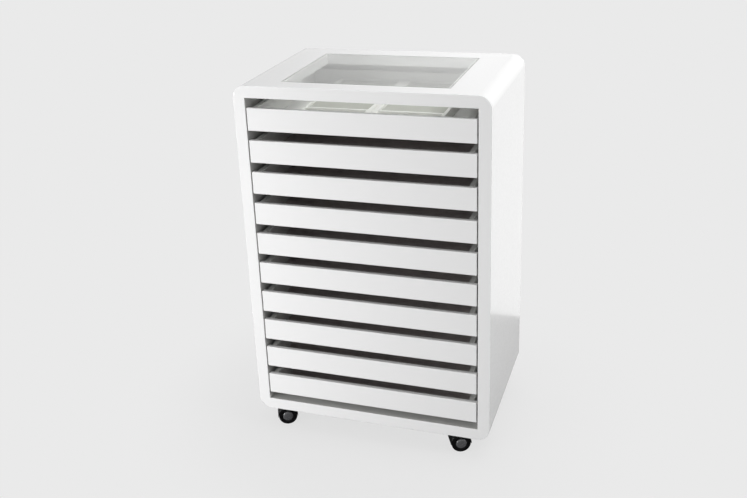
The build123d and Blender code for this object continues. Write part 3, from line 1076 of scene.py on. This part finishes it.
@dataclass
class Studio:
    """Pale floor and backdrop, soft boxes, world and camera."""

    background: str = "#eaeaea"
    floor_reflectance: str = "#787878"
    world_strength: float = 0.49
    shadow_tone: str = "#d6d6d6"
    shadow_share: float = 0.16
    shadow_reach: tuple[float, float] = (0.38, 0.75)
    # The two low boxes light without being mirrored. The card is there for the gloss alone, and
    # gives the hub caps their crescent.
    lamps: tuple[Lamp, ...] = (
        Lamp("right soft box", (2.3, -0.2, 0.6), (0.2, 0.0, 0.5), 1.2, 1.0, 23, mirrored=False),
        Lamp("front left soft box", (-1.7, -1.8, 0.42), (-0.1, -0.2, 0.3), 1.4, 0.8, 46,
             mirrored=False),
        Lamp("mirrored card", (-2.7, -1.6, 0.75), (-0.1, -0.2, 0.1), 1.0, 1.0, 75, lights=False),
        Lamp("top soft box", (0.9, -0.2, 2.5), (0.1, 0.0, 0.95), 1.1, 1.1, 15),
    )

    # The camera stands where the photograph's does: it was fitted to the cabinet's stated size.
    image_width: int = 747
    image_height: int = 498
    focal_px: float = 975.4
    axis_x_px: float = 348.2
    axis_y_px: float = 216.9
    camera_place: Point = (0.721, -2.252, 1.499)
    azimuth: float = 20.29
    elevation: float = 21.59
    roll: float = -2.82
    sensor_mm: float = 36.0

    def floor(self) -> None:
        """A wide floor that curves up into a backdrop far behind."""
        shape = bmesh.new()
        near, far, half, wall, bend, bend_steps = -7.0, 7.0, 9.0, 6.0, 1.5, 12
        profile = [(near, 0.0), (far - bend, 0.0)]
        profile += [(y, z) for y, z in arc((far - bend, bend), bend, -90, 0, bend_steps)][1:]
        profile.append((far, wall))
        rows = [[shape.verts.new((x, y, z)) for x in (-half, half)] for y, z in profile]
        for a, b in zip(rows, rows[1:]):
            shape.faces.new((a[0], a[1], b[1], b[0]))
        mesh = bpy.data.meshes.new("floor")
        shape.to_mesh(mesh)
        shape.free()
        mesh.shade_smooth()
        floor = bpy.data.objects.new("floor", mesh)
        bpy.context.scene.collection.objects.link(floor)
        mesh.materials.append(self.paper())

    def paper(self) -> bpy.types.Material:
        """Matt paper. The camera sees the background's own pale grey with a faint shadow.

        Returns:
            The floor's material.
        """
        material = bpy.data.materials.new("backdrop paper")
        material.use_nodes = True
        tree = material.node_tree
        tree.nodes.clear()
        path = add_node(tree, "ShaderNodeLightPath")
        plain = add_node(tree, "ShaderNodeBsdfDiffuse",
                         inputs={"Color": linear(self.floor_reflectance)})
        seen = add_node(tree, "ShaderNodeEmission",
                        inputs={"Color": linear(self.background), "Strength": 1.0})
        shadowed = add_node(tree, "ShaderNodeBsdfDiffuse",
                            inputs={"Color": linear(self.shadow_tone)})
        place = add_node(tree, "ShaderNodeTexCoord")
        distance = add_node(tree, "ShaderNodeVectorMath", settings={"operation": "LENGTH"},
                            links={0: place.outputs["Object"]})
        near, far = self.shadow_reach
        share = add_node(tree, "ShaderNodeMapRange", settings={"interpolation_type": "SMOOTHSTEP"},
                         inputs={"From Min": near, "From Max": far, "To Min": self.shadow_share,
                                 "To Max": 0.0}, links={"Value": distance.outputs["Value"]})
        shown = add_node(tree, "ShaderNodeMixShader",
                         links={0: share.outputs["Result"], 1: seen.outputs[0],
                                2: shadowed.outputs[0]})
        both = add_node(tree, "ShaderNodeMixShader",
                        links={0: path.outputs["Is Camera Ray"], 1: plain.outputs[0],
                               2: shown.outputs[0]})
        add_node(tree, "ShaderNodeOutputMaterial", links={"Surface": both.outputs[0]})
        return material

    def world(self) -> None:
        """Even pale surroundings. The camera and reflections see the background's grey."""
        world = bpy.data.worlds.new("studio")
        bpy.context.scene.world = world
        world.use_nodes = True
        tree = world.node_tree
        tree.nodes.clear()
        path = add_node(tree, "ShaderNodeLightPath")
        soft = add_node(tree, "ShaderNodeBackground",
                        inputs={"Color": (1, 1, 1, 1), "Strength": self.world_strength})
        seen = add_node(tree, "ShaderNodeBackground",
                        inputs={"Color": linear(self.background), "Strength": 1.0})
        sight = add_node(tree, "ShaderNodeMath", settings={"operation": "MAXIMUM"},
                         links={0: path.outputs["Is Camera Ray"],
                                1: path.outputs["Is Glossy Ray"]})
        mix = add_node(tree, "ShaderNodeMixShader",
                       links={0: sight.outputs[0], 1: soft.outputs[0], 2: seen.outputs[0]})
        add_node(tree, "ShaderNodeOutputWorld", links={"Surface": mix.outputs[0]})

    def camera(self) -> None:
        """The photograph's camera, with the small shift that its framing has."""
        data = bpy.data.cameras.new("camera")
        data.sensor_width = self.sensor_mm
        data.lens = self.focal_px * self.sensor_mm / self.image_width
        data.shift_x = (self.image_width / 2 - self.axis_x_px) / self.image_width
        data.shift_y = (self.axis_y_px - self.image_height / 2) / self.image_width
        camera = bpy.data.objects.new("camera", data)
        turn, tilt = math.radians(self.azimuth), math.radians(self.elevation)
        sight = Vector((-math.sin(turn) * math.cos(tilt), math.cos(turn) * math.cos(tilt),
                        -math.sin(tilt)))
        upright = sight.to_track_quat("-Z", "Y").to_matrix().to_4x4()
        camera.matrix_world = (Matrix.Translation(self.camera_place) @ upright
                               @ Matrix.Rotation(math.radians(self.roll), 4, "Z"))
        bpy.context.scene.collection.objects.link(camera)
        bpy.context.scene.camera = camera

    def build(self) -> None:
        """Sets up the studio."""
        self.floor()
        self.world()
        self.camera()
        LightWall().build()
        for lamp in self.lamps:
            lamp.build()
        bpy.context.scene.view_settings.view_transform = "Standard"
        LOG.info("studio with %d soft boxes", len(self.lamps))


def main() -> None:
    """Builds the cabinet and its studio."""
    logging.basicConfig(level=logging.INFO, format="%(name)s: %(message)s")
    Studio().build()
    Carcass().build()
    for body in sorted(name for name in frame["bodies"] if name.startswith("drawer_")):
        Drawer(int(body.split("_")[1])).build()
    DisplayInsert().build()
    for corner in ("front_left", "front_right", "rear_left", "rear_right"):
        Caster(corner).build()
    dress_node("caster_plates", Look.BLACK_ZINC, MOULDED_EDGE_MM)
    dress_node("caster_screws", Look.ZINC, SCREW_EDGE_MM)
    bpy.context.view_layer.update()


if __name__ == "__main__":
    main()
